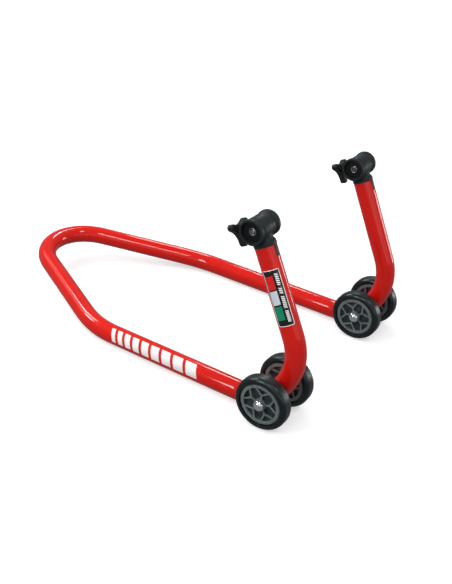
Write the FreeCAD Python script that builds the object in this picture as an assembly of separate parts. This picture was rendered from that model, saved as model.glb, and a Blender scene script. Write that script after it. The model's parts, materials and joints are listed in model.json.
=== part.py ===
import FreeCAD, Part
import math
import os

# Paddock stand: a bent tube frame on four small wheels, with two clamping heads.
# Millimetres.  +X points from the handle to the heads, +Y to the left, +Z up.
# The origin is on the floor, in the middle of the stand's footprint.

V = FreeCAD.Vector

# --- Frame tube -----------------------------------------------------------
TUBE_OD = 38.0
TUBE_WALL = 2.0
FRAME_WIDTH = 379.0          # between the centre lines of the two side tubes
FOOT_TURN = 64.0             # degrees the tube turns up at the wheels
FOOT_BEND_RADIUS = 105.0
FOOT_STRAIGHT = 2.5          # straight run between the foot and knee bends
KNEE_BEND_RADIUS = 105.0
UPRIGHT_LEAN = 25.7          # degrees from upright, towards the handle
UPRIGHT_LENGTH = 213.5       # from the knee's corner to the tube's end
SIDE_LENGTH = 413.0          # from the axle to the corner of the side bend
SIDE_BEND_RADIUS = 210.0
HANDLE_REACH = 682.6         # from the axle to the middle of the handle's bend
HANDLE_RISE = 37.4           # that middle above the side tubes' centre lines
HANDLE_BEND_RADIUS = 97.2

# --- Wheels and axles -----------------------------------------------------
WHEEL_DIAMETER = 101.6
WHEEL_WIDTH = 28.0
WHEEL_GAP = 8.5              # from the tube's side to the tyre's side
SHOULDER_RADIUS = 8.5        # tyre's outer edge
TYRE_LIP_RADIUS = 40.2       # inner edge of the tyre's side face
TYRE_LIP_ROUND = 0.6
TYRE_SEAT_RADIUS = 38.4      # where the tyre is moulded on the rim
TYRE_SEAT_WIDTH = 22.0
RING_RADIUS = 37.0           # outside of the rim's raised ring
RING_WIDTH = 4.6
RING_PROUD = 0.9             # above the rim's seat
RING_EDGE_ROUND = 0.5
WEB_THICKNESS = 10.0
RIB_PROUD = 5.6              # above the web
RIB_WIDTH = 2.8
SPOKE_COUNT = 5
FORK_RADIUS = 19.0           # where each spoke splits in two
FORK_HALF_ANGLE = 25.5       # from the spoke to where a branch meets the ring
HUB_RADIUS = 11.0
HUB_WIDTH = 27.4
BUSH_OD = 16.0
AXLE_DIAMETER = 12.0
AXLE_CHAMFER = 1.0
AXLE_RUNNING_CLEARANCE = 0.08
AXLE_SLEEVE_OD = 20.0
AXLE_SLEEVE_CLEARANCE = 0.05
AXLE_END_FLOAT = 0.4         # free space at each end of a wheel's hub
WASHER_OD = 19.0
WASHER_THICKNESS = 1.0
WASHER_CLEARANCE = 0.1
PUSH_RING_THICKNESS = 1.0
CAP_RADIUS = 9.8
CAP_HEIGHT = 7.2
CAP_SKIRT = 2.2              # straight part of the cap below its dome
CAP_WALL = 0.8
AXLE_END_INTO_CAP = 3.0
WELD_LEG = 2.6

# --- Heads ----------------------------------------------------------------
HEAD_RISE = 31.0             # sleeve's axis above the tube's end
SLEEVE_LENGTH = 60.0
SLEEVE_FLANGE_RADIUS = 22.3
SLEEVE_FLANGE_WIDTH = 8.0
SLEEVE_WAIST_RADIUS = 19.4
SLEEVE_WAIST_WIDTH = 5.0
SLEEVE_BAND_RADIUS = 20.9
SLEEVE_EDGE_ROUND = 1.4
RECESS_RADIUS = 18.6
RECESS_DEPTH = 6.0
RECESS_DRAFT = 0.8
COLLAR_PROUD = 0.6           # collar outside the tube
COLLAR_HEIGHT = 5.5
NECK_RADIUS = 16.6
NECK_HEIGHT = 5.0
SPIGOT_LENGTH = 38.0
SPIGOT_CLEARANCE = 0.1
SPIGOT_WALL = 4.0
SPIGOT_LEAD = 1.5
KEY_WIDTH = 8.0
KEY_LENGTH = 20.0
KEY_PROUD = 0.7
KEY_CLEARANCE = 0.15
LINER_OD = 13.0
LINER_EDGE_ROUND = 0.7
ROD_BORE = 10.0              # for the rod of a lifting support
BOSS_RADIUS = 11.5
BOSS_REACH = 28.5            # from the sleeve's axis to the boss's end
BOSS_BEAD_WIDTH = 3.0
BOSS_BEAD_PROUD = 1.4

# --- Clamps ---------------------------------------------------------------
SCREW_DIAMETER = 10.0
SCREW_PITCH = 1.5
THREAD_DEPTH = 0.85
THREAD_CREST = 0.3           # flat on top of each ridge
SCREW_CLEARANCE = 0.08
TURNS_IN = 3                 # from rest until the clamp is full in
INSERT_OD = 14.0
INSERT_LENGTH = 16.0
DOG_DIAMETER = 7.8
DOG_LENGTH = 5.5
PAD_DIAMETER = 8.0
PAD_THICKNESS = 3.4
PAD_SETBACK = 0.4            # pad behind the bore's wall at rest
PAD_SEAT_CLEARANCE = 0.2
PAD_STEM_DIAMETER = 4.0
PAD_STEM_LENGTH = 3.0
PAD_PASSAGE_CLEARANCE = 0.3
KNOB_STOP_GAP = 0.5          # knob to boss when the clamp is full in
KNOB_REACH = 27.5            # axis to the tip of a lobe
KNOB_TIP_RADIUS = 6.0
KNOB_WAIST = 11.5            # axis to the middle of a hollow side
KNOB_THICKNESS = 12.0
KNOB_EDGE_ROUND = 2.4
KNOB_HUB_RADIUS = 8.2
KNOB_HUB_PROUD = 1.6
KNOB_SCREW_DEPTH = 8.0
LOBE_COUNT = 3

# --- Trim -----------------------------------------------------------------
FOIL = 0.25
LABEL_LENGTH = 99.0
LABEL_BELOW_END = 38.0       # its top below the upright tube's end
LABEL_START_ANGLE = -117.0   # degrees round the tube, from the side away from the handle
LABEL_SWEEP = 91.0
LABEL_CORNER = 2.0
STRIPE_START = 365.0         # from the axle towards the handle
STRIPE_LENGTH = 216.0
STRIPE_START_ANGLE = 16.0    # degrees round the tube, from its top
STRIPE_SWEEP = 80.0
BAR_COUNT = 9
BAR_GROWTH = 1.9             # each bar is wider than the last by this
BAR_GAP = 6.5
BAR_SLANT = 0.42             # along the tube for each unit across

# --- Derived sizes --------------------------------------------------------
TUBE_RADIUS = TUBE_OD / 2
HALF_WIDTH = FRAME_WIDTH / 2
WHEEL_RADIUS = WHEEL_DIAMETER / 2
WHEEL_OFFSET = TUBE_RADIUS + WHEEL_GAP + WHEEL_WIDTH / 2
AXLE_RADIUS = AXLE_DIAMETER / 2
AXLE_X = (HANDLE_REACH + TUBE_RADIUS - WHEEL_RADIUS) / 2
WASHER_FACE = WHEEL_OFFSET + HUB_WIDTH / 2 + AXLE_END_FLOAT
CAP_BASE = WASHER_FACE + WASHER_THICKNESS
SLEEVE_END = WHEEL_OFFSET - HUB_WIDTH / 2 - AXLE_END_FLOAT - WASHER_THICKNESS
TURN = math.radians(FOOT_TURN)
LEAN = math.radians(UPRIGHT_LEAN)
AXLE_ANGLE = math.acos(1 - (WHEEL_RADIUS - TUBE_RADIUS) / FOOT_BEND_RADIUS)
FOOT_SETBACK = FOOT_BEND_RADIUS * math.tan(TURN / 2)
FOOT_CORNER_X = FOOT_SETBACK - FOOT_BEND_RADIUS * math.sin(AXLE_ANGLE)
KNEE_TURN = math.pi / 2 + LEAN - TURN
FOOT_LEG = FOOT_SETBACK + FOOT_STRAIGHT + KNEE_BEND_RADIUS * math.tan(KNEE_TURN / 2)
UPRIGHT = V(-math.sin(LEAN), 0, math.cos(LEAN))
CLAMP_TRAVEL = TURNS_IN * SCREW_PITCH
KNOB_BACK = BOSS_REACH + CLAMP_TRAVEL + KNOB_STOP_GAP
PAD_FRONT = ROD_BORE / 2 + PAD_SETBACK
DOG_TIP = PAD_FRONT + PAD_THICKNESS + PAD_SEAT_CLEARANCE
SPIGOT_RADIUS = TUBE_RADIUS - TUBE_WALL - SPIGOT_CLEARANCE
LINER_LENGTH = SLEEVE_LENGTH - 2 * RECESS_DEPTH
LABEL_START = UPRIGHT_LENGTH - LABEL_BELOW_END - LABEL_LENGTH

NEAR = 1e-4                   # lengths that differ by less are the same
X_AXIS = V(1, 0, 0)
Y_AXIS = V(0, 1, 0)
Z_AXIS = V(0, 0, 1)


# --- Small makers ---------------------------------------------------------

def rod(radius, start, end):
    """Round bar between two points."""
    along = end - start
    return Part.makeCylinder(radius, along.Length, start, along)


def tube(outer_radius, inner_radius, start, end):
    """Hollow round bar between two points."""
    return rod(outer_radius, start, end).cut(rod(inner_radius, start, end))


def turned(profile):
    """Solid turned about the Y axis from corners given as (radius, y)."""
    corners = [V(radius, y, 0) for radius, y in profile]
    face = Part.Face(Part.makePolygon(corners + corners[:1]))
    return face.revolve(V(0, 0, 0), Y_AXIS, 360)


def rounded_path(corners, radii):
    """Straight runs joined by tangent arcs at the inner corners."""
    edges = []
    start = corners[0]
    for before, corner, after, radius in zip(corners, corners[1:], corners[2:], radii):
        back = (before - corner).normalize()
        ahead = (after - corner).normalize()
        half_turn = (math.pi - back.getAngle(ahead)) / 2
        setback = radius * math.tan(half_turn)
        middle = (back + ahead).normalize() * (radius / math.cos(half_turn) - radius)
        arc_start = corner + back * setback
        arc_end = corner + ahead * setback
        edges.append(Part.makeLine(start, arc_start))
        edges.append(Part.Arc(arc_start, corner + middle, arc_end).toShape())
        start = arc_end
    edges.append(Part.makeLine(start, corners[-1]))
    return Part.Wire(edges)


def pipe(path, radius):
    """Round solid swept along a path."""
    start = path.OrderedVertexes[0].Point
    direction = path.OrderedEdges[0].tangentAt(path.OrderedEdges[0].FirstParameter)
    circle = Part.Wire(Part.makeCircle(radius, start, direction))
    return path.makePipe(Part.Face(circle))


def round_edges(solid, radius, wanted):
    """Fillet the edges for which wanted(edge) holds."""
    return solid.makeFillet(radius, [edge for edge in solid.Edges if wanted(edge)])


def is_circle(edge, radius):
    """True for a circular edge of the given radius."""
    return isinstance(edge.Curve, Part.Circle) and abs(edge.Curve.Radius - radius) < NEAR


def mirrored(shape):
    """The same shape on the other side of the stand."""
    return shape.mirror(V(0, 0, 0), Y_AXIS)


def placed(shape, base, rotation):
    """A copy of a shape, moved from its own frame to a place on the stand."""
    copy = shape.copy()
    copy.Placement = FreeCAD.Placement(base, rotation) * shape.Placement
    return copy


# --- Frame ----------------------------------------------------------------

def foot_corner():
    """Corner of the right-hand foot bend."""
    return V(AXLE_X + FOOT_CORNER_X, -HALF_WIDTH, TUBE_RADIUS)


def knee_corner():
    """Corner of the right-hand knee bend."""
    return foot_corner() + V(math.cos(TURN), 0, math.sin(TURN)) * FOOT_LEG


def side_corner():
    """Corner where the right-hand side tube turns in to the handle."""
    return V(AXLE_X - SIDE_LENGTH, -HALF_WIDTH, TUBE_RADIUS)


def handle_corner():
    """Where both side tubes' lines, which touch the handle's bend, would cross."""
    corner = side_corner()
    middle = V(AXLE_X - HANDLE_REACH, 0, TUBE_RADIUS + HANDLE_RISE)
    slope = middle - V(corner.x, 0, corner.z)
    to_centre = slope.Length - HANDLE_BEND_RADIUS
    sight = math.hypot(HALF_WIDTH, to_centre)
    turn_in = math.atan2(HALF_WIDTH, to_centre) - math.asin(HANDLE_BEND_RADIUS / sight)
    beyond = HALF_WIDTH / math.tan(turn_in) - slope.Length
    return middle + slope.normalize() * beyond


def axle_point(offset=0.0):
    """Point on the right-hand axle, offset sideways from the tube."""
    return V(AXLE_X, -HALF_WIDTH + offset, WHEEL_RADIUS)


def other_side(point):
    """Mirror image of a point."""
    return V(point.x, -point.y, point.z)


def frame_path():
    """Centre line of the one bent tube, from the right head to the left."""
    knee = knee_corner()
    half = [knee + UPRIGHT * UPRIGHT_LENGTH, knee, foot_corner(), side_corner()]
    bends = [KNEE_BEND_RADIUS, FOOT_BEND_RADIUS, SIDE_BEND_RADIUS]
    corners = half + [handle_corner()] + [other_side(point) for point in reversed(half)]
    return rounded_path(corners, bends + [HANDLE_BEND_RADIUS] + bends[::-1])


def frame_tube():
    """The bent tube, with its axle holes and the key slots at its ends."""
    path = frame_path()
    frame = pipe(path, TUBE_RADIUS).cut(pipe(path, TUBE_RADIUS - TUBE_WALL))
    hole = rod(AXLE_SLEEVE_OD / 2, axle_point(-TUBE_OD), axle_point(TUBE_OD))
    slot_width = KEY_WIDTH + 2 * KEY_CLEARANCE
    slot_depth = KEY_LENGTH + KEY_CLEARANCE
    slot = Part.makeBox(TUBE_OD, slot_width, slot_depth + TUBE_WALL)
    slot.translate(V(0, -slot_width / 2, -HEAD_RISE - slot_depth))
    for cutter in (hole, on_upright(slot)):
        frame = frame.cut(cutter).cut(mirrored(cutter))
    return frame


def axle_sleeve():
    """Steel sleeve welded through the foot bend, which holds the axle."""
    bore = AXLE_RADIUS + AXLE_SLEEVE_CLEARANCE
    return tube(AXLE_SLEEVE_OD / 2, bore, axle_point(-SLEEVE_END), axle_point(SLEEVE_END))


def axle_welds():
    """Weld beads round the sleeve, one on each side of the tube."""
    side_end = V(AXLE_X - SIDE_LENGTH / 2, -HALF_WIDTH, TUBE_RADIUS)
    path = rounded_path([side_end, foot_corner(), knee_corner()], [FOOT_BEND_RADIUS])
    sleeve_radius = AXLE_SLEEVE_OD / 2
    reach = TUBE_RADIUS + WELD_LEG
    collar = tube(sleeve_radius + WELD_LEG, sleeve_radius, axle_point(-reach), axle_point(reach))
    return collar.common(pipe(path, reach)).cut(pipe(path, TUBE_RADIUS))


# --- Wheels: made about the Y axis, then moved on to the axle ----------------

def tyre():
    """Solid rubber tyre, moulded on the rim's seat."""
    side = WHEEL_WIDTH / 2
    seat = TYRE_SEAT_WIDTH / 2
    profile = [(WHEEL_RADIUS, -side), (WHEEL_RADIUS, side), (TYRE_LIP_RADIUS, side)]
    profile += [(TYRE_LIP_RADIUS, seat), (TYRE_SEAT_RADIUS, seat), (TYRE_SEAT_RADIUS, -seat)]
    profile += [(TYRE_LIP_RADIUS, -seat), (TYRE_LIP_RADIUS, -side)]
    rubber = turned(profile)
    rubber = round_edges(rubber, SHOULDER_RADIUS, lambda edge: is_circle(edge, WHEEL_RADIUS))

    def on_lip(edge):
        return is_circle(edge, TYRE_LIP_RADIUS) and abs(abs(edge.Curve.Center.y) - side) < NEAR

    return round_edges(rubber, TYRE_LIP_ROUND, on_lip)


def rib(start, end, height):
    """Upright rib between two points of the wheel's plane, with round ends."""
    along = end - start
    bar = Part.makeBox(along.Length, RIB_WIDTH, 2 * height)
    bar.translate(V(0, -RIB_WIDTH / 2, -height))
    bar = placed(bar, start, FreeCAD.Rotation(along, V(0, 0, 0), Y_AXIS, "XZY"))
    nose = rod(RIB_WIDTH / 2, end - Y_AXIS * height, end + Y_AXIS * height)
    return bar.fuse(nose)


def wheel_point(radius, degrees):
    """Point of the wheel's plane, given by radius and angle."""
    angle = math.radians(degrees)
    return V(radius * math.cos(angle), 0, radius * math.sin(angle))


def spokes(turn):
    """Ribs of the star: each spoke splits in two on its way to the ring."""
    height = WEB_THICKNESS / 2 + RIB_PROUD
    ring = RING_RADIUS - RING_WIDTH / 2
    ribs = []
    for index in range(SPOKE_COUNT):
        angle = turn + index * 360.0 / SPOKE_COUNT
        fork = wheel_point(FORK_RADIUS, angle)
        ribs.append(rib(wheel_point((BUSH_OD / 2 + HUB_RADIUS) / 2, angle), fork, height))
        for side in (-1, 1):
            foot = wheel_point(ring, angle + side * FORK_HALF_ANGLE)
            ribs.append(rib(fork, foot, height))
    return ribs


def rim(turn):
    """Plastic rim: seat, raised ring, web, star of ribs and hub."""
    seat = TYRE_SEAT_WIDTH / 2
    face = seat + RING_PROUD
    web = WEB_THICKNESS / 2
    inside = RING_RADIUS - RING_WIDTH
    profile = [(TYRE_SEAT_RADIUS, -seat), (TYRE_SEAT_RADIUS, seat), (RING_RADIUS, seat)]
    profile += [(RING_RADIUS, face), (inside, face), (inside, web)]
    profile += [(HUB_RADIUS, web), (HUB_RADIUS, HUB_WIDTH / 2), (BUSH_OD / 2, HUB_WIDTH / 2)]
    lower = [(radius, -y) for radius, y in reversed(profile[2:])]
    body = turned(profile + lower)
    body = body.multiFuse(spokes(turn)).removeSplitter()
    return round_edges(body, RING_EDGE_ROUND, lambda edge: is_circle(edge, RING_RADIUS)
                       and abs(abs(edge.Curve.Center.y) - face) < NEAR)


def hub_bush():
    """Plastic bush that turns on the axle."""
    half = HUB_WIDTH / 2
    bore = AXLE_RADIUS + AXLE_RUNNING_CLEARANCE
    return turned([(BUSH_OD / 2, -half), (BUSH_OD / 2, half), (bore, half), (bore, -half)])


# --- Axles: made on the right-hand side --------------------------------------

def axle():
    """Steel axle through the sleeve and both wheels, with chamfered ends."""
    end = CAP_BASE + AXLE_END_INTO_CAP
    bar = rod(AXLE_RADIUS, axle_point(-end), axle_point(end))
    return bar.makeChamfer(AXLE_CHAMFER, [edge for edge in bar.Edges if is_circle(edge, AXLE_RADIUS)])


def thrust_washers():
    """Four washers: one at each end of each wheel's hub."""
    bore = AXLE_RADIUS + WASHER_CLEARANCE
    faces = [SLEEVE_END, WASHER_FACE]
    faces += [-face - WASHER_THICKNESS for face in faces]
    washers = []
    for face in faces:
        ends = axle_point(face), axle_point(face + WASHER_THICKNESS)
        washers.append(tube(WASHER_OD / 2, bore, *ends))
    return Part.makeCompound(washers)


def outward_pair(shape):
    """The shape at the axle's two ends, from one made along +Y at the origin."""
    ends = []
    for side in (-1, 1):
        piece = shape.copy()
        if side < 0:
            piece = mirrored(piece)
        piece.translate(axle_point(side * CAP_BASE))
        ends.append(piece)
    return Part.makeCompound(ends)


def push_rings():
    """Spring rings pressed on the axle's ends, inside the caps."""
    ring_radius = CAP_RADIUS - CAP_WALL
    return outward_pair(tube(ring_radius, AXLE_RADIUS, V(0, 0, 0), Y_AXIS * PUSH_RING_THICKNESS))


def dome(radius, height, skirt):
    """Round cap along +Y: a straight skirt under a spherical dome."""
    rise = height - skirt
    ball_radius = (radius ** 2 + rise ** 2) / (2 * rise)
    ball = Part.makeSphere(ball_radius, V(0, height - ball_radius, 0))
    return rod(radius, V(0, 0, 0), Y_AXIS * height).common(ball)


def axle_caps():
    """Thin domed caps, one on each end of the axle."""
    outer = dome(CAP_RADIUS, CAP_HEIGHT, CAP_SKIRT)
    inner = dome(CAP_RADIUS - CAP_WALL, CAP_HEIGHT - CAP_WALL, CAP_SKIRT)
    return outward_pair(outer.cut(inner))


# --- Heads: made about the sleeve's centre, +Z along the upright, +X from the handle ---

def on_upright(shape, distance=UPRIGHT_LENGTH + HEAD_RISE):
    """Put a shape on the right-hand upright, at a distance from the knee's corner."""
    base = knee_corner() + UPRIGHT * distance
    return placed(shape, base, FreeCAD.Rotation(Y_AXIS, -UPRIGHT_LEAN))


def sleeve_half():
    """Outline of one half of the sleeve as (radius, y), from its middle out."""
    end = SLEEVE_LENGTH / 2
    flange = end - SLEEVE_FLANGE_WIDTH
    waist = flange - SLEEVE_WAIST_WIDTH / 2
    band = waist - SLEEVE_WAIST_WIDTH
    step = (SLEEVE_FLANGE_RADIUS - SLEEVE_WAIST_RADIUS) / 2
    return [(SLEEVE_BAND_RADIUS, band), (SLEEVE_WAIST_RADIUS, waist),
            (SLEEVE_FLANGE_RADIUS - step / 2, flange), (SLEEVE_FLANGE_RADIUS, flange + step),
            (SLEEVE_FLANGE_RADIUS, end)]


def head_sleeve():
    """Cross sleeve with a flange and a round recess at each end."""
    half = sleeve_half()
    outline = [(0, -SLEEVE_LENGTH / 2)] + [(radius, -y) for radius, y in reversed(half)]
    body = turned(outline + half + [(0, SLEEVE_LENGTH / 2)])

    end = SLEEVE_LENGTH / 2
    return round_edges(body, SLEEVE_EDGE_ROUND, lambda edge: is_circle(edge, SLEEVE_FLANGE_RADIUS)
                       and abs(abs(edge.Curve.Center.y) - end) < NEAR)


def head_recess():
    """Tapered hollow of one sleeve end, opening along +Y."""
    floor = Y_AXIS * (SLEEVE_LENGTH / 2 - RECESS_DEPTH)
    return Part.makeCone(RECESS_RADIUS - RECESS_DRAFT, RECESS_RADIUS, RECESS_DEPTH, floor, Y_AXIS)


def head_stem():
    """Neck, collar and hollow spigot below the sleeve, and the key."""
    tube_end = V(0, 0, -HEAD_RISE)
    collar_radius = TUBE_RADIUS + COLLAR_PROUD
    collar_top = tube_end + Z_AXIS * COLLAR_HEIGHT
    collar = rod(collar_radius, tube_end, collar_top)
    collar = round_edges(collar, COLLAR_PROUD / 2, lambda edge: is_circle(edge, collar_radius)
                         and edge.Curve.Center.z < -HEAD_RISE + NEAR)
    cone = Part.makeCone(collar_radius, NECK_RADIUS, NECK_HEIGHT, collar_top, Z_AXIS)
    neck = rod(NECK_RADIUS, collar_top, V(0, 0, 0))
    lower = tube_end - Z_AXIS * (SPIGOT_LENGTH - SPIGOT_LEAD)
    spigot = rod(SPIGOT_RADIUS, lower, tube_end)
    tip = lower - Z_AXIS * SPIGOT_LEAD
    lead = Part.makeCone(SPIGOT_RADIUS - SPIGOT_LEAD, SPIGOT_RADIUS, SPIGOT_LEAD, tip)
    return collar.multiFuse([cone, neck, spigot, lead, head_key()])


def head_key():
    """Key that fills the slot in the tube's end, on the side away from the handle."""
    outside = TUBE_RADIUS + KEY_PROUD
    key = rod(outside, V(0, 0, -HEAD_RISE - KEY_LENGTH), V(0, 0, -HEAD_RISE))
    window = Part.makeBox(outside, KEY_WIDTH, KEY_LENGTH)
    window.translate(V(SPIGOT_RADIUS / 2, -KEY_WIDTH / 2, -HEAD_RISE - KEY_LENGTH))
    return key.common(window)


def head_boss():
    """Boss on the handle side that carries the clamp screw."""
    boss = rod(BOSS_RADIUS, V(0, 0, 0), X_AXIS * -BOSS_REACH)
    bead_start = X_AXIS * -(BOSS_REACH - BOSS_BEAD_WIDTH)
    return boss.fuse(rod(BOSS_RADIUS + BOSS_BEAD_PROUD, bead_start, X_AXIS * -BOSS_REACH))


def head():
    """Black moulded head: sleeve, stem and boss, with every bore cut."""
    body = head_sleeve().multiFuse([head_stem(), head_boss()])
    recess = head_recess()
    hollow_top = V(0, 0, -HEAD_RISE)
    hollow = rod(SPIGOT_RADIUS - SPIGOT_WALL, hollow_top - Z_AXIS * SPIGOT_LENGTH, hollow_top)
    rod_bore = rod(LINER_OD / 2, Y_AXIS * -SLEEVE_LENGTH, Y_AXIS * SLEEVE_LENGTH)
    insert_seat = BOSS_REACH - INSERT_LENGTH
    screw_end = DOG_TIP + DOG_LENGTH - CLAMP_TRAVEL
    relief_start = screw_end - KNOB_STOP_GAP
    passage = rod(pad_passage_radius(), V(0, 0, 0), X_AXIS * -relief_start)
    relief = rod(SCREW_DIAMETER / 2 + PAD_PASSAGE_CLEARANCE, X_AXIS * -relief_start, X_AXIS * -insert_seat)
    insert_hole = rod(INSERT_OD / 2, X_AXIS * -insert_seat, X_AXIS * -BOSS_REACH)
    for cutter in (recess, mirrored(recess), hollow, rod_bore, passage, relief, insert_hole):
        body = body.cut(cutter)
    return body.removeSplitter()


def pad_passage_radius():
    """Hole that lets the clamp's pad through to the rod."""
    return PAD_DIAMETER / 2 + PAD_PASSAGE_CLEARANCE


def bore_liner():
    """Steel liner of the rod bore, with a side hole for the pad."""
    half = LINER_LENGTH / 2
    liner = tube(LINER_OD / 2, ROD_BORE / 2, Y_AXIS * -half, Y_AXIS * half)
    liner = round_edges(liner, LINER_EDGE_ROUND, lambda edge: isinstance(edge.Curve, Part.Circle))
    return liner.cut(rod(pad_passage_radius(), V(0, 0, 0), X_AXIS * -LINER_OD))


# --- Clamps: also made in the head's frame, along -X ---------------------------

def clamp_insert():
    """Metal insert moulded in the boss, for the clamp screw."""
    start = BOSS_REACH - INSERT_LENGTH
    bore = SCREW_DIAMETER / 2 + SCREW_CLEARANCE
    return tube(INSERT_OD / 2, bore, X_AXIS * -start, X_AXIS * -BOSS_REACH)


def threaded_rod(start, end):
    """Screw thread along -X as even ridges, between two distances from the axis."""
    crest = SCREW_DIAMETER / 2
    root = crest - THREAD_DEPTH
    count = int((end - start) / SCREW_PITCH)
    profile = [(0, start), (root, start)]
    for index in range(count):
        middle = start + (index + 0.5) * SCREW_PITCH
        profile.append((crest, middle - THREAD_CREST / 2))
        profile.append((crest, middle + THREAD_CREST / 2))
        profile.append((root, middle + SCREW_PITCH / 2))
    profile += [(root, end), (0, end)]
    thread = turned(profile)
    thread.rotate(V(0, 0, 0), Z_AXIS, 90)
    return thread


def clamp_screw():
    """Clamp screw with a dog point, its head end moulded into the knob."""
    thread_start = DOG_TIP + DOG_LENGTH
    thread = threaded_rod(thread_start, KNOB_BACK)
    dog = rod(DOG_DIAMETER / 2, X_AXIS * -DOG_TIP, X_AXIS * -thread_start)
    shank = rod(SCREW_DIAMETER / 2, X_AXIS * -KNOB_BACK, X_AXIS * -(KNOB_BACK + KNOB_SCREW_DEPTH))
    socket_depth = PAD_STEM_LENGTH + PAD_SEAT_CLEARANCE
    socket_radius = PAD_STEM_DIAMETER / 2 + SCREW_CLEARANCE
    socket = rod(socket_radius, X_AXIS * -DOG_TIP, X_AXIS * -(DOG_TIP + socket_depth))
    return thread.multiFuse([dog, shank]).cut(socket)


def pressure_pad():
    """Pad that presses on the rod; its stem turns in the screw's end."""
    back = PAD_FRONT + PAD_THICKNESS
    disc = rod(PAD_DIAMETER / 2, X_AXIS * -PAD_FRONT, X_AXIS * -back)
    stem = rod(PAD_STEM_DIAMETER / 2, X_AXIS * -back, X_AXIS * -(back + PAD_STEM_LENGTH))
    return disc.fuse(stem)


def lobed_face(distance):
    """Three-lobed face across the X axis, at a distance from the bore's axis."""
    tip_centre = KNOB_REACH - KNOB_TIP_RADIUS
    drop = KNOB_WAIST - KNOB_TIP_RADIUS
    side_centre = (tip_centre ** 2 - drop ** 2) / (tip_centre - 2 * drop)
    half_step = 180.0 / LOBE_COUNT

    def at(radius, degrees):
        angle = math.radians(degrees)
        return V(-distance, radius * math.sin(angle), radius * math.cos(angle))

    def touch(lobe, side):
        centre = at(tip_centre, lobe)
        return centre + (at(side_centre, side) - centre).normalize() * KNOB_TIP_RADIUS

    edges = []
    for index in range(LOBE_COUNT):
        lobe = half_step * (2 * index + 1)
        after = lobe + half_step
        tip = at(KNOB_REACH, lobe)
        edges.append(Part.Arc(touch(lobe, lobe - half_step), tip, touch(lobe, after)).toShape())
        hollow = at(KNOB_WAIST, after)
        next_lobe = lobe + 2 * half_step
        edges.append(Part.Arc(touch(lobe, after), hollow, touch(next_lobe, after)).toShape())
    return Part.Face(Part.Wire(edges))


def knob():
    """Three-lobed clamp knob with a hub on the side of the head."""
    back = KNOB_BACK + KNOB_HUB_PROUD
    front = back + KNOB_THICKNESS
    body = lobed_face(back).extrude(X_AXIS * -KNOB_THICKNESS)

    def on_face(edge):
        return min(abs(edge.BoundBox.XMin + front), abs(edge.BoundBox.XMax + back)) < NEAR

    body = round_edges(body, KNOB_EDGE_ROUND, on_face)
    hub = rod(KNOB_HUB_RADIUS, X_AXIS * -KNOB_BACK, X_AXIS * -(front - KNOB_EDGE_ROUND))
    bore = rod(SCREW_DIAMETER / 2, X_AXIS * -KNOB_BACK, X_AXIS * -(KNOB_BACK + KNOB_SCREW_DEPTH))
    return body.fuse(hub).cut(bore).removeSplitter()


# --- Trim: thin foils on the tube ------------------------------------------------

def foil(length, start, sweep):
    """Part of a thin shell round a tube that runs along +Z; start is from +X."""
    outer = Part.makeCylinder(TUBE_RADIUS + FOIL, length, V(0, 0, 0), Z_AXIS, sweep)
    inner = Part.makeCylinder(TUBE_RADIUS, length, V(0, 0, 0), Z_AXIS, sweep)
    shell = outer.cut(inner)
    shell.rotate(V(0, 0, 0), Z_AXIS, start)
    return shell


def upright_label():
    """Wrapped label on the outer side of the right-hand upright."""
    label = foil(LABEL_LENGTH, LABEL_START_ANGLE, LABEL_SWEEP)
    label = round_edges(label, LABEL_CORNER, lambda edge: abs(edge.Length - FOIL) < NEAR)
    return on_upright(label, LABEL_START)


def slanted_bar(low, width):
    """Cutter for one bar of the stripe, in the foil's frame."""
    middle = math.radians(STRIPE_START_ANGLE + STRIPE_SWEEP / 2)
    radial = V(math.cos(middle), math.sin(middle), 0)
    across = V(-math.sin(middle), math.cos(middle), 0)
    reach = TUBE_OD
    lean = Z_AXIS * (BAR_SLANT * reach)
    foot = Z_AXIS * low
    top = Z_AXIS * (low + width)
    corners = [foot - across * reach - lean, top - across * reach - lean]
    corners += [top + across * reach + lean, foot + across * reach + lean]
    face = Part.Face(Part.makePolygon(corners + corners[:1]))
    return face.extrude(radial * reach)


def side_stripe():
    """Slanted bars on the outer side of the right-hand side tube."""
    shell = foil(STRIPE_LENGTH, STRIPE_START_ANGLE, STRIPE_SWEEP)
    growth = BAR_GROWTH * BAR_COUNT * (BAR_COUNT - 1) / 2
    slant_room = BAR_SLANT * TUBE_OD
    first = (STRIPE_LENGTH - slant_room - BAR_GAP * (BAR_COUNT - 1) - growth) / BAR_COUNT
    low = slant_room / 2
    bars = []
    for index in range(BAR_COUNT):
        width = first + BAR_GROWTH * index
        bars.append(shell.common(slanted_bar(low, width)))
        low += width + BAR_GAP
    base = V(AXLE_X - STRIPE_START, -HALF_WIDTH, TUBE_RADIUS)
    along_tube = FreeCAD.Rotation(Z_AXIS, Y_AXIS * -1, X_AXIS, "ZXY")
    return placed(Part.makeCompound(bars), base, along_tube)


# --- Output ---------------------------------------------------------------

def save(node, shape):
    """Write one node."""
    shape.exportStep("parts/" + node + ".step")


def save_pair(name, shape):
    """Write a right-hand piece and its left-hand mirror image."""
    save(name + "_right", shape)
    save(name + "_left", mirrored(shape))


def save_wheels():
    """Write the four wheels, each with its spokes at an angle of its own."""
    turns = {"right_outer": 15.0, "right_inner": 52.0, "left_inner": 40.0, "left_outer": 4.0}
    for place, turn in turns.items():
        side, depth = place.split("_")
        outward = -1 if side == "right" else 1
        offset = WHEEL_OFFSET if depth == "outer" else -WHEEL_OFFSET
        centre = V(AXLE_X, outward * (HALF_WIDTH + offset), WHEEL_RADIUS)
        for name, shape in (("tyre_", tyre()), ("rim_", rim(turn)), ("hub_bush_", hub_bush())):
            shape.translate(centre)
            save(name + place, shape)


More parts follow.
